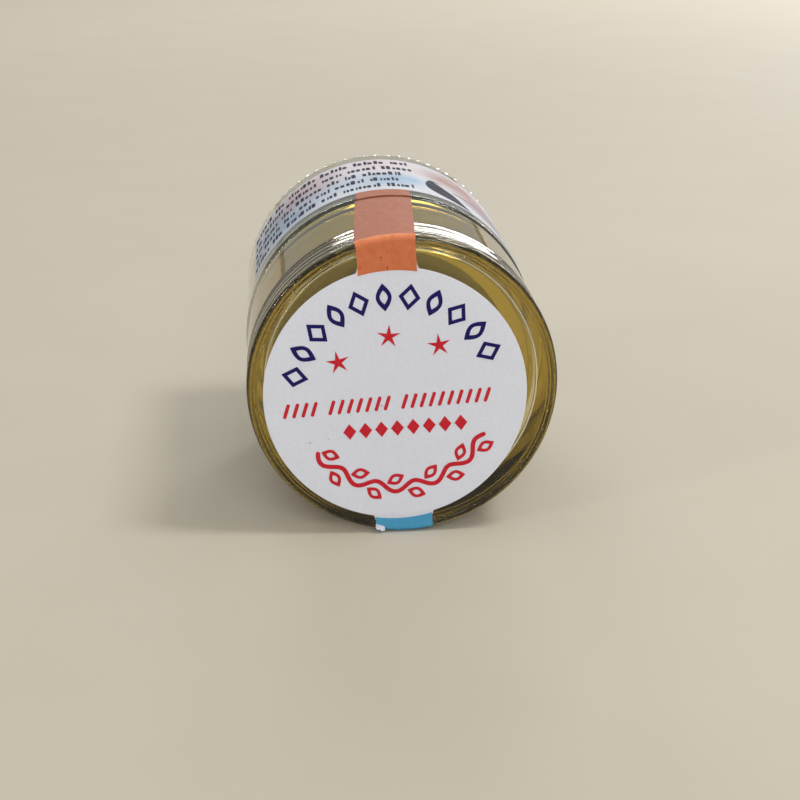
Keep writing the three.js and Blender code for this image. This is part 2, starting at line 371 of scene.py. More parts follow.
def orange_paper():
    """The seal's orange print, scuffed through at a few dark specks, with a painted highlight along its fold
    and painted shade along the lid's wall.
    """
    n = Nodes("orange_print")
    behind = n.distance((0, LID_FRONT, 0), (0, 1, 0))
    mottle = n.range(n.noise(700, 4, 0.65), 0.3, 0.75, 0, 1)
    # Painted shade: the print along the lid's wall gets a darker, pinker copy of the orange than the front
    # face.
    face = n.mix(mottle, srgb(180, 90, 50), srgb(196, 104, 58))
    wall = n.mix(mottle, srgb(150, 84, 58), srgb(162, 94, 66))
    tone = n.mix(n.range(behind, 0.5 * MM, 1.1 * MM, 0, 1), face, wall)
    # Painted highlight: a paler orange band along the rounded fold over the lid's front edge, broken up by
    # noise.
    fold = n.range(n.distance((0, LID_FRONT + 0.45 * MM, 0), (0, 1, 0)), 0.1 * MM, 0.75 * MM, 1, 0)
    fold_highlight = n.math("MULTIPLY", fold, n.range(n.noise(900, 3, 0.6), 0.35, 0.65, 0.35, 0.8))
    with_fold_highlight = n.mix(fold_highlight, tone, srgb(226, 146, 104))
    crease = n.noise(160, 3, 0.6, n.stretched(1, 1, 2.4))
    on_face = n.range(behind, 0.2 * MM, 0.4 * MM, 1, 0)
    scuffs = n.math("MULTIPLY", n.specks(560, 0.36, n.stretched(1.6, 1, 0.7)), on_face)
    return n.set(
        Base_Color=n.mix(scuffs, with_fold_highlight, srgb(124, 62, 42)),
        Roughness=n.range(n.noise(900, 3, 0.6), 0.3, 0.8, 0.6, 0.75),
        Specular_IOR_Level=0.35,
        Normal=n.bump(crease, 0.12 * MM, n.bump(n.noise(2200, 4, 0.7), 0.01 * MM)),
    )


def label_paper():
    """The wrap label: white with soft blue and pink washes of print."""
    n = Nodes("label_paper")
    washes = (
        (132, 41, 14, srgb(124, 146, 172), 0.9),
        (96, 40, 9, srgb(148, 168, 190), 0.7),
        (84, 40, 7, srgb(128, 160, 188), 0.8),
        (124, 50, 11, srgb(176, 148, 150), 0.8),
        (88, 53, 11, srgb(198, 180, 184), 0.8),
        (30, 44, 12, srgb(162, 176, 198), 0.7),
        (58, 49, 9, srgb(150, 104, 96), 0.95),
        (46, 43, 8, srgb(160, 118, 118), 0.95),
        (0, 46, 15, srgb(194, 168, 172), 0.7),
        (-30, 42, 13, srgb(154, 174, 198), 0.8),
    )
    tone = n.mix(n.range(n.noise(1500, 4, 0.65), 0.3, 0.75, 0.3, 1), srgb(184, 187, 196), srgb(197, 199, 206))
    cloud = n.range(n.noise(160, 3, 0.6), 0.3, 0.65, 0.5, 1)
    for degrees, behind, radius, colour, strength in washes:
        spot = on_axis(JAR_RADIUS, math.radians(degrees), LID_FRONT + behind * MM)
        cover = n.math("MULTIPLY", n.patch(spot, radius * MM), strength)
        tone = n.mix(n.math("MULTIPLY", cover, cloud), tone, colour)
    return n.set(
        Base_Color=tone,
        Roughness=n.range(n.noise(900, 3, 0.6), 0.3, 0.8, 0.55, 0.7),
        Specular_IOR_Level=0.25,
        Normal=n.bump(n.noise(2600, 4, 0.7), 0.006 * MM),
    )


def ink(name, colour, thin):
    """Printed ink: a little glossier than the paper and thinner in places."""
    n = Nodes(name)
    cover = n.range(n.noise(1500, 3, 0.7), 0.35, 0.7, 0, 1)
    return n.set(
        Base_Color=n.mix(cover, thin, colour),
        Roughness=n.range(n.noise(800, 2, 0.5), 0.3, 0.7, 0.6, 0.75),
        Specular_IOR_Level=0.1,
        Normal=n.bump(n.noise(2600, 4, 0.7), 0.006 * MM),
    )


def moulded(name, colour, darker, roughness):
    """Plain moulded plastic or foam with a fine surface grain."""
    n = Nodes(name)
    return n.set(
        Base_Color=n.mix(n.noise(180, 3, 0.6), darker, colour),
        Roughness=n.range(n.noise(700, 3, 0.6), 0.3, 0.8, roughness - 0.06, roughness + 0.08),
        Normal=n.bump(n.noise(1800, 3, 0.6), 0.01 * MM),
    )


def cream_finish():
    """Soft cream with slow swirls on its surface."""
    n = Nodes("cream_finish")
    swirl = n.noise(110, 4, 0.55, n.stretched(1, 1, 2.2))
    return n.set(
        Base_Color=n.mix(swirl, srgb(236, 224, 200), srgb(246, 240, 226)),
        Roughness=n.range(n.noise(300, 3, 0.6), 0.3, 0.8, 0.28, 0.45),
        Normal=n.bump(swirl, 0.25 * MM),
    )


ACRYLIC = clear_acrylic()
GLASS = clear_glass()
GOLD = gold()
WHITE_PAPER = paper("white_paper", srgb(218, 221, 234), srgb(207, 210, 224), specks=1.0)
LABEL_PAPER = label_paper()
ORANGE = orange_paper()
BLUE = paper("blue_print", srgb(70, 164, 222), srgb(56, 146, 208))
NAVY_INK = ink("navy_ink", srgb(20, 16, 78), srgb(34, 30, 94))
RED_INK = ink("red_ink", srgb(182, 22, 38), srgb(192, 44, 54))
LABEL_INK = ink("label_ink", srgb(24, 24, 40), srgb(46, 46, 66))
WHITE_PLASTIC = moulded("white_plastic", srgb(238, 237, 232), srgb(226, 225, 219), 0.4)
FOAM = moulded("white_foam", srgb(238, 237, 233), srgb(222, 221, 216), 0.85)
CREAM = cream_finish()


# ---------------------------------------------------------------- lid

# Rolled edge of the gold cap's top
ROLL_WIDTH = 0.9 * MM
ROLL_DEPTH = 0.6 * MM

# Shallow rings and fine V grooves of the clear crown. The side grooves are placed by their distance behind
# the lid's front, the front ones by their radius.
RINGS = 4
RING_DEPTH = 0.075 * MM
SIDE_GROOVES = (1.25 * MM, 2.2 * MM, 6.3 * MM, 7.5 * MM)
FRONT_GROOVES = (23.4 * MM, 23.9 * MM)
GROOVE_DEPTH = 0.1 * MM
GROOVE_HALF = 0.16 * MM


def gold_edge():
    """The rolled edge of the gold cap's top, from its skirt to its flat top."""
    steps = 10
    turns = [math.pi / 2 * i / steps for i in range(steps, -1, -1)]
    return [
        (
            GOLD_RADIUS - ROLL_WIDTH + ROLL_WIDTH * math.sin(t),
            GOLD_TOP + ROLL_DEPTH - ROLL_DEPTH * math.cos(t),
        )
        for t in turns
    ]


def groove_sink(place, grooves):
    """Depth at a place of the fine V grooves that the mould has left."""
    return GROOVE_DEPTH * max(0, *(1 - abs(place - groove) / GROOVE_HALF for groove in grooves))


def crown_side(steps):
    """The crown's outside from beside the gold cap's top to the front fillet, with its rings and grooves."""
    start = LID_FRONT + CROWN_FILLET
    points = []
    for r, y in line((LID_RADIUS, GOLD_TOP), (LID_RADIUS, start), steps):
        into = (y - start) / (GOLD_TOP - start)
        sink = RING_DEPTH * math.sin(math.pi * RINGS * into) ** 2
        points.append((r - sink - groove_sink(y - LID_FRONT, SIDE_GROOVES), y))
    return points


def crown_front(steps):
    """The front's outer ring from just inside the fillet inwards, with its grooves half as deep."""
    inner = min(FRONT_GROOVES) - 2 * GROOVE_HALF
    ring = line((LID_RADIUS - CROWN_FILLET, LID_FRONT), (inner, LID_FRONT), steps)
    return [(r, y + groove_sink(r, FRONT_GROOVES) / 2) for r, y in ring[1:]]


def lid_shell():
    bore = GOLD_RADIUS - CONTACT
    corner = 0.5 * MM
    end = LID_HI.y
    edge = 0.2 * MM
    bm = bmesh.new()
    turn_profile(bm, [
        (0, SHELL_CEILING),
        (bore * 0.5, SHELL_CEILING),
        *arc(bore - corner, SHELL_CEILING + corner, corner, -90, 0, 8),
        *line((bore, SHELL_CEILING + 2 * corner), (bore, end), 24),
        (bore, end),
        *arc(LID_RADIUS - edge, end - edge, edge, 90, 0, 4),
        *line((LID_RADIUS, end - 2 * edge), (LID_RADIUS, GOLD_TOP), 24),
        *crown_side(128),
        *arc(LID_RADIUS - CROWN_FILLET, LID_FRONT + CROWN_FILLET, CROWN_FILLET, 0, -90, 10),
        *crown_front(24),
        (LID_RADIUS * 0.5, LID_FRONT),
        (0, LID_FRONT),
    ])
    shell = new_object("clear_lid_shell", bm, ACRYLIC, "lid", 50)
    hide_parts("lid_shell")


def gold_cap():
    ceiling = GOLD_TOP + 1.2 * MM
    edge = 0.4 * MM
    rim = 0.15 * MM
    relief = thread_relief(CAP_BORE, CAP_CREST, THREAD_START + LEAD / 2, lambda r: abs(r - CAP_BORE) < 1e-6)
    bm = bmesh.new()
    turn_profile(bm, [
        (0, ceiling),
        (CAP_BORE * 0.5, ceiling),
        (CAP_BORE - edge, ceiling),
        *line((CAP_BORE, ceiling + edge), (CAP_BORE, LID_END - edge), 60),
        *arc(CAP_BORE + edge, LID_END - edge, edge, 180, 90, 5),
        *arc(FLANGE_RADIUS - rim, LID_END - rim, rim, 90, 0, 4),
        *arc(FLANGE_RADIUS - rim, FLANGE_FRONT + rim, rim, 0, -90, 4),
        *line((GOLD_RADIUS, FLANGE_FRONT), (GOLD_RADIUS, GOLD_TOP + ROLL_DEPTH), 10),
        *gold_edge(),
        (GOLD_RADIUS * 0.5, GOLD_TOP),
        (0, GOLD_TOP),
    ], relief)
    cap = new_object("gold_inner_cap", bm, GOLD, "lid")
    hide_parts("lid_inner_cap")


def liner():
    radius = (LINER_HI.x - LINER_LO.x) / 2
    edge = 0.2 * MM
    bm = bmesh.new()
    turn_profile(bm, [
        (0, LINER_HI.y),
        *arc(radius - edge, LINER_HI.y - edge, edge, 90, 0, 3),
        *arc(radius - edge, LINER_LO.y + edge, edge, 0, -90, 3),
        (0, LINER_LO.y),
    ])
    wad = new_object("foam_liner", bm, FOAM, "liner")
    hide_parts("lid_liner")


# ---------------------------------------------------------------- jar

# The row of beads moulded round the heel
HEEL_BEADS = 78
SEGMENTS_PER_BEAD = 9
BEAD_RADIUS = 0.7 * MM
BEAD_HEIGHT = 0.48 * MM
HEEL_FILLET = 1.6 * MM


def bead_height(angle, along):
    """Height of the beads moulded on the heel, along being the distance from the ring's middle."""
    pitch = 2 * math.pi / HEEL_BEADS
    across = ((angle / pitch) % 1 - 0.5) * pitch * JAR_RADIUS
    distance = math.hypot(across, along) / BEAD_RADIUS
    return BEAD_HEIGHT * math.cos(distance * math.pi / 2) ** 0.7 if distance < 1 else 0


def beaded_heel(bm, count):
    """Rings of vertices round the heel fillet, raised into its row of beads."""
    fillet = arc(JAR_RADIUS - HEEL_FILLET, JAR_BASE - HEEL_FILLET, HEEL_FILLET, 90, 0, 16)
    last = len(fillet) - 1
    rings = []
    for k, (r, y) in enumerate(fillet):
        turn = math.pi / 2 * (1 - k / last)
        along = (k - last / 2) * HEEL_FILLET * math.pi / 2 / last
        ring = []
        for i in range(count):
            angle = 2 * math.pi * i / count
            lift = bead_height(angle, along)
            ring.append(bm.verts.new(on_axis(r + lift * math.cos(turn), angle, y + lift * math.sin(turn))))
        rings.append(ring)
    return rings


def glass_body():
    shoulder = 0.9 * MM
    edge = 0.5 * MM
    push_up_radius = 14 * MM
    push_up = 0.8 * MM
    fine = HEEL_BEADS * SEGMENTS_PER_BEAD
    coarse = fine // 3
    base = [
        (0, JAR_BASE - push_up),
        (push_up_radius * 0.5, JAR_BASE - push_up),
        (push_up_radius, JAR_BASE - push_up),
        (push_up_radius + 0.5 * MM, JAR_BASE - push_up * 0.85),
        (push_up_radius + 1.1 * MM, JAR_BASE - push_up * 0.12),
        (push_up_radius + 1.4 * MM, JAR_BASE),
    ]
    wall_and_inside = [
        *line((JAR_RADIUS, JAR_BASE - HEEL_FILLET - 0.5 * MM), (JAR_RADIUS, SHOULDER_Y + shoulder), 24),
        *arc(JAR_RADIUS - shoulder, SHOULDER_Y + shoulder, shoulder, 0, -90, 10),
        (NECK_RADIUS + edge, SHOULDER_Y),
        *arc(NECK_RADIUS + edge, SHOULDER_Y - edge, edge, 90, 180, 4),
        *line((NECK_RADIUS, SHOULDER_Y - 1.5 * edge), (NECK_RADIUS, NECK_TOP + edge), 60),
        *arc(NECK_RADIUS - edge, NECK_TOP + edge, edge, 0, -90, 6),
        *arc(MOUTH_RADIUS + edge, NECK_TOP + edge, edge, -90, -180, 6),
        (MOUTH_RADIUS, SHOULDER_Y + 1.0 * MM),
        (MOUTH_RADIUS + 0.25 * MM, SHOULDER_Y + 2.2 * MM),
        (MOUTH_RADIUS + 0.9 * MM, SHOULDER_Y + 3.4 * MM),
        (CAVITY_RADIUS - 0.7 * MM, SHOULDER_Y + 5.2 * MM),
        (CAVITY_RADIUS - 0.1 * MM, SHOULDER_Y + 6.6 * MM),
        *line((CAVITY_RADIUS, SHOULDER_Y + 8 * MM), (CAVITY_RADIUS, CAVITY_FLOOR - CAVITY_FILLET), 8),
        *arc(CAVITY_RADIUS - CAVITY_FILLET, CAVITY_FLOOR - CAVITY_FILLET, CAVITY_FILLET, 0, 90, 10),
        (CAVITY_RADIUS * 0.4, CAVITY_FLOOR),
        (0, CAVITY_FLOOR),
    ]
    relief = thread_relief(NECK_RADIUS, NECK_CREST, THREAD_START, lambda r: abs(r - NECK_RADIUS) < 1e-6)
    bm = bmesh.new()
    rings = turned_rings(bm, base, None, coarse)
    rings += beaded_heel(bm, fine)
    rings += turned_rings(bm, wall_and_inside, relief, coarse)
    for a, b in zip(rings, rings[1:]):
        join_rows(bm, a, b)
    body = new_object("clear_glass_jar", bm, GLASS, "jar")
    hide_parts("glass_jar")


def cream_fill():
    """The cream wets the glass, and its surface under the disc is a little uneven."""
    radius = CAVITY_RADIUS + CONTACT
    floor_y = CAVITY_FLOOR + CONTACT
    top = CREAM_TOP

    def swirl(r, y, angle):
        return 0.25 * MM * math.sin(2 * angle + r / MM) if y < top + 0.4 * MM else 0

    bm = bmesh.new()
    turn_profile(bm, [
        (0, floor_y),
        *arc(radius - CAVITY_FILLET, floor_y - CAVITY_FILLET, CAVITY_FILLET, 90, 0, 10),
        *line((radius, floor_y - CAVITY_FILLET - 1 * MM), (radius, top + 1.2 * MM), 8),
        (radius - 0.2 * MM, top + 0.6 * MM),
        (radius - 0.9 * MM, top + 0.1 * MM),
        (radius - 2.5 * MM, top),
        (radius - 6 * MM, top + 0.25 * MM),
        (radius * 0.3, top + 0.05 * MM),
        (0, top),
    ], swirl, 128)
    fill = new_object("cream_fill", bm, CREAM, "jar")
    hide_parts("cream")


def finger_tab(bm, top):
    """The tongue in the sealing disc's hollow: a plate with a round end."""
    half = 5 * MM
    hinge = 15.3 * MM
    round_centre = 7 * MM
    low = 0.6 * MM
    high = 1.3 * MM
    rim = 0.15 * MM
    outline = [(-half, hinge)]
    outline += [
        (half * math.cos(t), round_centre + half * math.sin(t))
        for t in [math.pi + math.pi * i / 16 for i in range(17)]
    ]
    outline.append((half, hinge))
    levels = ((low, rim), (low + rim, 0), (high - rim, 0), (high, rim))
    rows = []
    for depth, inset in levels:
        shrink = 1 - inset / half
        rows.append([
            bm.verts.new((x * shrink, top + depth, AXIS_Z + round_centre + (z - round_centre) * shrink))
            for x, z in outline
        ])
    for a, b in zip(rows, rows[1:]):
        join_rows(bm, a, b)
    bm.faces.new(rows[0])
    bm.faces.new(rows[-1])


def tab_foot(bm, top):
    """The low bar that joins the finger tab to the disc."""
    bar = bmesh.ops.create_cube(bm, size=1)["verts"]
    bmesh.ops.scale(bm, vec=(10 * MM, 1.5 * MM, 1.6 * MM), verts=bar)
    bmesh.ops.translate(bm, vec=(0, top + 1.5 * MM, AXIS_Z + 14.6 * MM), verts=bar)


def sealing_disc():
    rim = (DISC_HI.x - DISC_LO.x) / 2
    plug = MOUTH_RADIUS - 0.3 * MM
    hollow = plug - 1 * MM
    depth = 2 * MM
    lip = 0.7 * MM
    top = DISC_LO.y
    edge = 0.2 * MM
    bm = bmesh.new()
    turn_profile(bm, [
        (0, DISC_HI.y),
        *arc(plug - edge, DISC_HI.y - edge, edge, 90, 0, 4),
        (plug, top + lip),
        *arc(rim - edge, top + lip - edge, edge, 90, 0, 4),
        *arc(rim - edge, top + edge, edge, 0, -90, 4),
        *arc(hollow + edge, top + edge, edge, -90, -180, 4),
        (hollow, top + depth - edge),
        (hollow - edge, top + depth),
        (0, top + depth),
    ])
    finger_tab(bm, top)
    tab_foot(bm, top)
    disc = new_object("sealing_disc_dish", bm, WHITE_PLASTIC, "disc")
    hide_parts("sealing_disc")


# ---------------------------------------------------------------- paper sheets

SHEET_TOP = 0.125 * MM
PRINT_TOP = 0.145 * MM
INK_LOW = 0.1 * MM
INK_TOP = 0.14 * MM


def sheet_from(bm, grid_low, grid_high):
    """A thin closed sheet between two grids of points of the same size."""
    low = [[bm.verts.new(p) for p in row] for row in grid_low]
    high = [[bm.verts.new(p) for p in row] for row in grid_high]
    rows = len(low)
    columns = len(low[0])
    for i in range(rows - 1):
        for j in range(columns - 1):
            bm.faces.new((high[i][j], high[i][j + 1], high[i + 1][j + 1], high[i + 1][j]))
            bm.faces.new((low[i][j], low[i + 1][j], low[i + 1][j + 1], low[i][j + 1]))
    for i in range(rows - 1):
        for j in (0, columns - 1):
            bm.faces.new((low[i][j], high[i][j], high[i + 1][j], low[i + 1][j]))
    for j in range(columns - 1):
        for i in (0, rows - 1):
            bm.faces.new((low[i][j], low[i][j + 1], high[i][j + 1], high[i][j]))


class TabLine:
    """One line along a paper tab, across from the tab's middle: over the lid's face, round its front edge
    and along its wall. up is 1 for the top tab and -1 for the bottom one."""

    def __init__(self, across, up):
        self.up = up
        self.direction = Vector((-math.sin(TAB_LEAN), math.cos(TAB_LEAN))) * up
        sideways = Vector((math.cos(TAB_LEAN), math.sin(TAB_LEAN)))
        self.start = Vector((STICKER_X, STICKER_Z - AXIS_Z)) + sideways * across
        flat = LID_RADIUS - CROWN_FILLET
        half = self.start.dot(self.direction)
        self.fold = -half + math.sqrt(half * half - self.start.length_squared + flat * flat)
        self.quarter = CROWN_FILLET * math.pi / 2

    def stations(self, start, y):
        """Places along the line from start to y on the wall, close together round the fold."""
        wall = self.fold + self.quarter
        end = wall + y - LID_FRONT - CROWN_FILLET
        face = [start + (self.fold - start) * i / 10 for i in range(10)]
        bend = [self.fold + self.quarter * i / 12 for i in range(12)]
        return face + bend + [wall + (end - wall) * i / 24 for i in range(25)]

    def point(self, along, lift):
        if along <= self.fold:
            spot = self.start + self.direction * along
            return Vector((spot.x, LID_FRONT - lift, AXIS_Z + spot.y))
        past = along - self.fold
        bend = min(past / self.quarter, 1) * math.pi / 2
        on_wall = max(0, past - self.quarter)
        flat = LID_RADIUS - CROWN_FILLET
        radius = flat + (CROWN_FILLET + lift) * math.sin(bend)
        y = LID_FRONT + CROWN_FILLET - (CROWN_FILLET + lift) * math.cos(bend) + on_wall
        x = (self.start + self.direction * self.fold).x + on_wall * math.tan(TAB_DRIFT)
        angle = math.atan2(math.sqrt(flat * flat - x * x) * self.up, x)
        return on_axis(radius, angle, y)


def circle_edge(across):
    """How far along a tab the sticker's round edge is."""
    return math.sqrt(STICKER_RADIUS ** 2 - across ** 2)


def tab(name, up, offset, end, low, high, material, flare=0.0):
    """A tab or its print, from offset outside the round edge to y = end on the wall. The flare is how much
    wider it starts, as the die cut runs into the round edge with a small fillet."""
    columns = 17
    flare_length = 1.0 * MM

    def grid(lift):
        lines = []
        for j in range(columns):
            across = (2 * j / (columns - 1) - 1) * TAB_WIDTH / 2
            middle = TabLine(across, up)
            edge = circle_edge(across)
            points = []
            for along in middle.stations(edge + offset, end):
                widening = min(flare * max(0, 1 - (along - edge) / flare_length) ** 2, 2 * flare)
                shifted = TabLine(across * (1 + 2 * widening / TAB_WIDTH), up)
                points.append(shifted.point(along + shifted.fold - middle.fold, lift))
            lines.append(points)
        return list(zip(*lines))

    bm = bmesh.new()
    sheet_from(bm, grid(low), grid(high))
    return new_object(name, bm, material, "lid")


def sticker_disc():
    bm = bmesh.new()
    steps = 256
    sides = []
    for lift in (-CONTACT, 0.13 * MM):
        y = LID_FRONT - lift
        rows = [[bm.verts.new((STICKER_X, y, STICKER_Z))]]
        for share in (0.5, 0.9, 1.0):
            radius = STICKER_RADIUS * share
            turns = [2 * math.pi * i / steps for i in range(steps)]
            rows.append([
                bm.verts.new((STICKER_X + radius * math.cos(t), y, STICKER_Z + radius * math.sin(t)))
                for t in turns
            ])
        for a, b in zip(rows, rows[1:]):
            join_rows(bm, a, b)
        sides.append(rows[-1])
    join_rows(bm, sides[0], sides[1])
    return new_object("round_sticker", bm, WHITE_PAPER, "lid")


def torn_flake():
    """A scrap of white backing that hangs loose from the left end of the blue tab's fold."""
    outline = ((-4.65, -0.2), (-4.75, 0.4), (-4.5, 0.85), (-4.1, 0.65), (-3.8, 0.9), (-3.2, 0.7), (-3.3, 0.1))
    bm = bmesh.new()
    rings = []
    for lift in (0.15 * MM, 0.23 * MM):
        ring = []
        for across, drop in outline:
            corner = TabLine(across * MM, -1)
            curl = 0.25 * drop * abs(drop)
            ring.append(bm.verts.new(corner.point(corner.fold, lift) - Vector((0, curl, drop)) * MM))
        rings.append(ring)
        bm.faces.new(ring)
    join_rows(bm, *rings)
    return new_object("sticker_torn_flake", bm, WHITE_PAPER, "lid")


def sticker():
    disc = sticker_disc()
    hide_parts("lid_sticker")
    top_end = STICKER_HI.y
    bottom_end = STICKER_HI.y - 1.35 * MM
    root = -1.0 * MM
    flare = 0.35 * MM
    for name, up, end in (("sticker_tab_top", 1, top_end), ("sticker_tab_bottom", -1, bottom_end)):
        paper_tab = tab(name, up, root, end, -CONTACT, SHEET_TOP, WHITE_PAPER, flare)
    orange = tab("print_orange", 1, -0.5 * MM, top_end, INK_LOW, PRINT_TOP, ORANGE)
    blue = tab("print_blue", -1, 0.3 * MM, bottom_end, INK_LOW, PRINT_TOP, BLUE)
    torn_flake()


def wrap_grid(radius, y_from, y_to, angle_from, angle_to, rows, columns):
    """Rows of points round the jar's axis between two angles."""
    return [
        [
            on_axis(
                radius,
                angle_from + (angle_to - angle_from) * j / columns,
                y_from + (y_to - y_from) * i / rows,
            )
            for j in range(columns + 1)
        ]
        for i in range(rows + 1)
    ]


def body_label():
    bm = bmesh.new()
    y = (LABEL_LO.y, LABEL_HI.y)
    sheet_from(
        bm,
        wrap_grid(JAR_RADIUS - CONTACT, *y, LABEL_RIGHT, LABEL_LEFT, 8, 160),
        wrap_grid(JAR_RADIUS + LABEL_TOP, *y, LABEL_RIGHT, LABEL_LEFT, 8, 160),
    )
    label = new_object("wrap_label", bm, LABEL_PAPER, "jar")
    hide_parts("body_label")


def seal_end():
    centre_x = (SEAL_LO.x + SEAL_HI.x) / 2
    start = math.acos((centre_x + TAB_WIDTH / 2) / JAR_RADIUS)
    end = math.acos((centre_x - TAB_WIDTH / 2) / JAR_RADIUS)
    bm = bmesh.new()
    y = (SEAL_LO.y, SEAL_HI.y)
    sheet_from(
        bm,
        wrap_grid(JAR_RADIUS - CONTACT, *y, start, end, 4, 16),
        wrap_grid(JAR_RADIUS + PRINT_TOP, *y, start, end, 4, 16),
    )
    piece = new_object("seal_end_paper", bm, ORANGE, "jar")
    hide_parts("seal_tab_end")


# ---------------------------------------------------------------- print

class Ink:
    """Printed shapes of one colour: thin closed prisms drawn in a surface's own (u, v).
    place(u, v, lift) gives the point in space."""

    def __init__(self, place, low, high):
        self.bm = bmesh.new()
        self.place = place
        self.lifts = (low, high)

    def band(self, lines, closed=False):
        """A prism over side-by-side lines that have the same number of points."""
        count = len(lines[0])
        low, high = [
            [[self.bm.verts.new(self.place(*p, lift)) for p in points] for points in lines]
            for lift in self.lifts
        ]
        side_by_side = list(zip(low, high))
        for i in range(count if closed else count - 1):
            j = (i + 1) % count
            for (low_a, high_a), (low_b, high_b) in zip(side_by_side, side_by_side[1:]):
                self.bm.faces.new((high_a[i], high_b[i], high_b[j], high_a[j]))
                self.bm.faces.new((low_a[i], low_a[j], low_b[j], low_b[i]))
            for low_edge, high_edge in (side_by_side[0], side_by_side[-1]):
                self.bm.faces.new((low_edge[i], high_edge[i], high_edge[j], low_edge[j]))
        if not closed:
            for i in (0, count - 1):
                for (low_a, high_a), (low_b, high_b) in zip(side_by_side, side_by_side[1:]):
                    self.bm.faces.new((low_a[i], low_b[i], high_b[i], high_a[i]))

    def fill(self, outline):
        """A prism over an outline that can be seen whole from its middle."""
        middle = sum((Vector(p) for p in outline), Vector((0, 0))) / len(outline)
        rings = []
        for lift in self.lifts:
            hub = self.bm.verts.new(self.place(*middle, lift))
            ring = [self.bm.verts.new(self.place(*p, lift)) for p in outline]
            join_rows(self.bm, [hub], ring)
            rings.append(ring)
        join_rows(self.bm, *rings)

    def stroke(self, spots, width, strips=1):
        """A line with round ends. width(share) gives its width along it. A broad line on the round jar is
        laid in several strips, so that it follows the curve."""
        spots = [Vector(p) for p in spots]
        last = len(spots) - 1
        aim = [(spots[min(i + 1, last)] - spots[max(i - 1, 0)]).normalized() for i in range(last + 1)]
        halves = [width(i / last) / 2 for i in range(last + 1)]
        caps = [math.radians(a) for a in (20, 40, 60, 78)]

        def round_end(i, way, turns):
            return [
                (spots[i] + way * aim[i] * halves[i] * math.sin(t), aim[i], halves[i] * math.cos(t))
                for t in turns
            ]

        stations = [
            *round_end(0, -1, caps[::-1]),
            *zip(spots, aim, halves),
            *round_end(-1, 1, caps),
        ]
        self.band([
            [spot + Vector((-a.y, a.x)) * half * (1 - 2 * k / strips) for spot, a, half in stations]
            for k in range(strips + 1)
        ])

    def shape(self, outline, centre, turn, line_width=None):
        """An outline round (0, 0), turned and moved to a centre: solid, or drawn as a line."""
        def moved(scale):
            c = math.cos(turn) * scale
            s = math.sin(turn) * scale
            return [(centre[0] + u * c - v * s, centre[1] + u * s + v * c) for u, v in outline]

        if line_width is None:
            self.fill(moved(1))
        else:
            narrowest = min(math.hypot(*p) for p in outline)
            self.band([moved(1), moved(1 - line_width / narrowest)], closed=True)

    def finish(self, name, material, body):
        piece = new_object(name, self.bm, material, body)


def lozenge(length, breadth):
    """Outline of a rhombus standing along v, with a point in the middle of each side."""
    corners = [(0, length / 2), (-breadth / 2, 0), (0, -length / 2), (breadth / 2, 0)]
    outline = []
    for i, (u, v) in enumerate(corners):
        next_u, next_v = corners[(i + 1) % 4]
        outline += [(u, v), ((u + next_u) / 2, (v + next_v) / 2)]
    return outline


def leaf(length, breadth):
    """Outline of a leaf pointed at both ends, along v."""
    steps = 12
    side = [
        (breadth / 2 * math.sin(math.pi * i / steps), length * (i / steps - 0.5))
        for i in range(steps)
    ]
    return side + [(-u, -v) for u, v in side]


def star(radius):
    """Outline of a thin five-point star."""
    points = []
    for i in range(10):
        reach = radius if i % 2 == 0 else radius * 0.3
        turn = math.pi / 2 + math.pi * i / 5
        points.append((reach * math.cos(turn), reach * math.sin(turn)))
    return points


def on_sticker(u, v, lift):
    """u and v from the sticker's centre, v along its top tab."""
    return Vector((
        STICKER_X + u * math.cos(TAB_LEAN) - v * math.sin(TAB_LEAN),
        LID_FRONT - lift,
        STICKER_Z + u * math.sin(TAB_LEAN) + v * math.cos(TAB_LEAN),
    ))


def upper_border():
    """Navy lozenges and leaves round the top of the sticker."""
    navy = Ink(on_sticker, INK_LOW, INK_TOP)
    radius = 16.4 * MM
    marks = 11
    for i in range(marks):
        angle = math.radians(164 - 142 * i / (marks - 1))
        centre = (radius * math.cos(angle), radius * math.sin(angle))
        turn = angle - math.pi / 2
        if i % 2:
            navy.shape(leaf(4.6 * MM, 2.5 * MM), centre, turn, 0.62 * MM)
        else:
            navy.shape(lozenge(4.4 * MM, 3.5 * MM), centre, turn, 0.62 * MM)
    navy.finish("navy_border", NAVY_INK, "lid")


def middle_rows():
    """Three stars, a row of slanting dashes in three groups, and a bolder row of lozenges."""
    red = Ink(on_sticker, INK_LOW, INK_TOP)
    for u, v, turn in ((-8.8, 6.3, 8), (-0.5, 9.9, -6), (7.4, 7.8, 4)):
        red.shape(star(2.0 * MM), (u * MM, v * MM), math.radians(turn))
    pitch = 1.48 * MM
    group_gap = 1.35 * MM
    lean = 0.35 * MM
    height = 0.95 * MM
    middle = -1.2 * MM
    u = -17.6 * MM
    for count in (4, 7, 10):
        for _ in range(count):
            dash = [(u - lean, middle - height), (u, middle), (u + lean, middle + height)]
            red.stroke(dash, lambda share: 0.56 * MM)
            u += pitch
        u += group_gap
    marks = 8
    for i in range(marks):
        u = (-7.8 + 18.0 * i / (marks - 1)) * MM
        red.shape(lozenge(2.7 * MM, 2.1 * MM), (u, -5.6 * MM), 0)
    red.finish("red_rows", RED_INK, "lid")


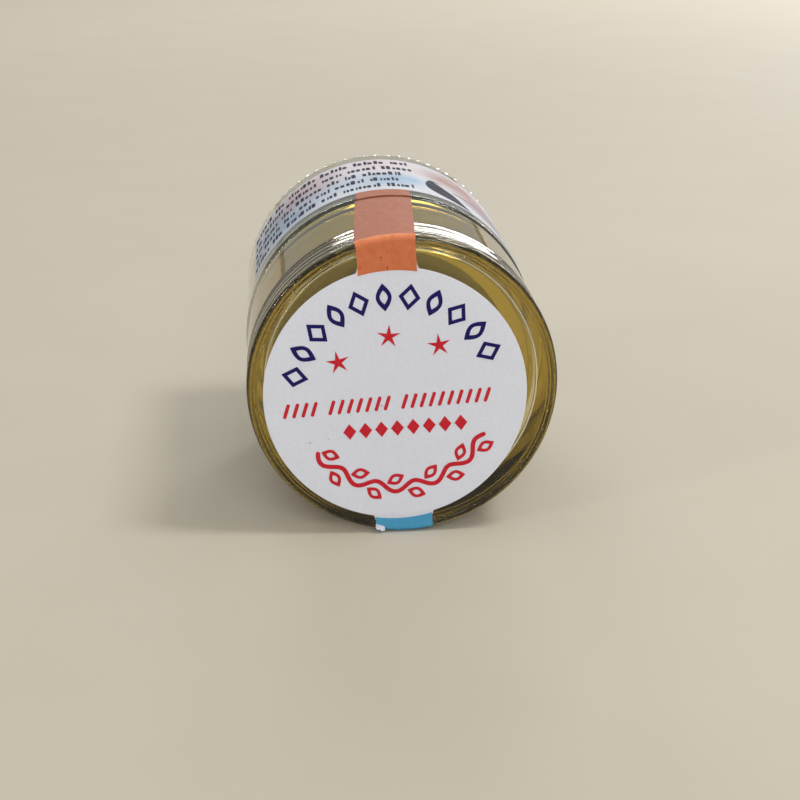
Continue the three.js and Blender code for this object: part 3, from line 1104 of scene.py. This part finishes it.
def lower_garland():
    """A red stem that waves round the bottom of the sticker, with leaves on both sides."""
    red = Ink(on_sticker, INK_LOW, INK_TOP)
    radius = 15.9 * MM
    sway = 0.8 * MM
    waves = 5
    first = math.radians(214)
    last = math.radians(330)

    def stem(share):
        angle = first + (last - first) * share
        r = radius + sway * math.sin(2 * math.pi * waves * share)
        return (r * math.cos(angle), r * math.sin(angle)), angle

    steps = 100
    red.stroke([stem(i / steps)[0] for i in range(steps + 1)], lambda share: 0.75 * MM)
    leaves = 2 * waves
    for i in range(leaves):
        share = (i + 0.5) / leaves
        (u, v), angle = stem(share)
        side = 1 if i % 2 else -1
        reach = 2.15 * MM
        centre = (u + side * reach * math.cos(angle), v + side * reach * math.sin(angle))
        red.shape(leaf(3.2 * MM, 1.9 * MM), centre, angle + math.radians(90 + 62 * side), 0.52 * MM)
    red.finish("red_garland", RED_INK, "lid")


LABEL_TOP = 0.085 * MM
LABEL_INK_LOW = 0.06 * MM
LABEL_INK_TOP = 0.093 * MM


def on_label(u, v, lift):
    """u round the jar from its top towards the left, v behind the lid's front."""
    return on_axis(JAR_RADIUS + lift, math.pi / 2 + u / JAR_RADIUS, LID_FRONT + v)


def label_lines():
    """Five lines of small plain marks where the label has its small print."""
    marks = Ink(on_label, LABEL_INK_LOW, LABEL_INK_TOP)
    rng = random.Random(11)
    lines = 5
    first_line = 34.6 * MM
    line_pitch = 4.8 * MM
    mark_gap = 0.27 * MM
    word_gap = 0.9 * MM
    for line_number in range(lines):
        v = first_line + line_pitch * line_number
        u = math.radians(66) * JAR_RADIUS
        end = math.radians(-10 + 3 * (line_number % 2)) * JAR_RADIUS
        while u > end:
            for _ in range(rng.randint(3, 9)):
                width = rng.uniform(0.3, 0.85) * MM
                height = rng.choice((1.9, 2.1, 2.9)) * MM
                middle = v + (height - 1.9 * MM) / 2
                marks.stroke(
                    [(u, middle - height / 2 + width / 2), (u, middle), (u, middle + height / 2 - width / 2)],
                    lambda share, width=width: width,
                )
                u -= width + mark_gap
            u -= word_gap
    marks.finish("label_small_print", LABEL_INK, "jar")


def label_swoosh():
    """A dark tapered stroke and four fine ones across the pink side of the label."""
    strokes = Ink(on_label, LABEL_INK_LOW, LABEL_INK_TOP)
    curves = (
        ((-8.6, 44.0), (-9.0, 36.0), (-15.0, 32.4), 5.2),
        ((-8.2, 43.4), (-8.8, 44.8), (-10.6, 43.6), 0.7),
        ((-12.5, 40.5), (-14.5, 42.2), (-17.5, 39.6), 0.6),
        ((-14.0, 38.3), (-18.0, 37.2), (-24.0, 36.5), 0.6),
        ((-16.0, 42.6), (-20.0, 41.0), (-26.0, 39.5), 0.6),
    )
    steps = 24
    for start, bend, end, width in curves:
        spots = []
        for i in range(steps + 1):
            t = i / steps
            spots.append([
                (a * (1 - t) ** 2 + 2 * b * t * (1 - t) + c * t * t) * MM for a, b, c in zip(start, bend, end)
            ])
        strokes.stroke(
            spots,
            lambda share, width=width: width * MM * (0.15 + math.sin(math.pi * share)) / 1.15,
            strips=6,
        )
    strokes.finish("label_swoosh", LABEL_INK, "jar")


# ---------------------------------------------------------------- stage

def floor():
    n = Nodes("floor_paper")
    material = n.set(
        Base_Color=n.mix(n.noise(30, 3, 0.5), srgb(180, 171, 154), srgb(186, 178, 162)),
        Roughness=0.7,
    )
    size = 3.0
    mesh = bpy.data.meshes.new("floor")
    corners = [(-size, -size, 0), (size, -size, 0), (size, size, 0), (-size, size, 0)]
    mesh.from_pydata(corners, [], [(0, 1, 2, 3)])
    mesh.materials.append(material)
    plane = bpy.data.objects.new("floor", mesh)
    bpy.context.scene.collection.objects.link(plane)


def softbox(name, place, size, power, colour=(1, 1, 1), roll=0.0):
    """A rectangular light that faces the jar, rolled about its own direction."""
    data = bpy.data.lights.new(name, "AREA")
    data.shape = "RECTANGLE"
    data.size, data.size_y = size
    data.energy = power
    data.color = colour
    lamp = bpy.data.objects.new(name, data)
    lamp.location = place
    facing = (Vector((0, 0, AXIS_Z)) - Vector(place)).to_track_quat("-Z", "Y")
    lamp.rotation_euler = (facing @ Quaternion((0, 0, 1), roll)).to_euler()
    bpy.context.scene.collection.objects.link(lamp)


def lights():
    """A lamp high at the right, a soft fill and a small bright spot in front, and strips round the back and
    left that draw the highlights in the clear lid, in a pale grey room."""
    softbox("key_right", (0.34, -0.12, 0.64), (0.14, 0.18), 2.3, (1, 0.98, 0.95))
    softbox("front_fill", (0.1, -0.95, 0.6), (0.6, 0.4), 3.6, (0.97, 0.98, 1))
    softbox("strip_behind", (0.34, 1.0, 0.37), (0.64, 0.09), 3.0, roll=math.radians(45))
    softbox("lamp_behind", (-0.2, 1.0, 0.52), (0.34, 0.06), 1.8)
    softbox("strip_left", (-0.75, -0.5, 0.4), (0.06, 0.4), 1.4)
    softbox("glint_front", (0.07, -1.0, 0.39), (0.05, 0.05), 0.5)
    world = bpy.data.worlds.new("studio")
    world.use_nodes = True
    background = world.node_tree.nodes["Background"]
    background.inputs["Color"].default_value = srgb(180, 180, 176)
    background.inputs["Strength"].default_value = 1.04
    bpy.context.scene.world = world


def camera():
    """A view 20 degrees down on the lid, 4.5 degrees from its axis, through a long lens. The eye's place is
    given in lid radii: how far back it is, and how far left and down of the line to the lid's centre."""
    pitch = math.radians(19.96)
    yaw = math.radians(4.54)
    back = 10.23
    left = 0.0205
    down = 0.0786
    forward = Vector((
        math.sin(yaw) * math.cos(pitch),
        math.cos(yaw) * math.cos(pitch),
        -math.sin(pitch),
    ))
    right = Vector((math.cos(yaw), -math.sin(yaw), 0))
    up = right.cross(forward)
    lid_centre = Vector((0, LID_FRONT, AXIS_Z))
    data = bpy.data.cameras.new("main_view")
    data.lens = 72
    data.sensor_width = 36
    data.clip_start = 0.01
    eye = bpy.data.objects.new("main_view", data)
    eye.location = lid_centre - LID_RADIUS * (back * forward + left * right + down * up)
    eye.rotation_euler = forward.to_track_quat("-Z", "Y").to_euler()
    bpy.context.scene.collection.objects.link(eye)
    bpy.context.scene.camera = eye


camera()
lights()
floor()
lid_shell()
gold_cap()
liner()
glass_body()
cream_fill()
sealing_disc()
sticker()
upper_border()
middle_rows()
lower_garland()
body_label()
label_lines()
label_swoosh()
seal_end()

bpy.context.scene.view_settings.view_transform = "Standard"
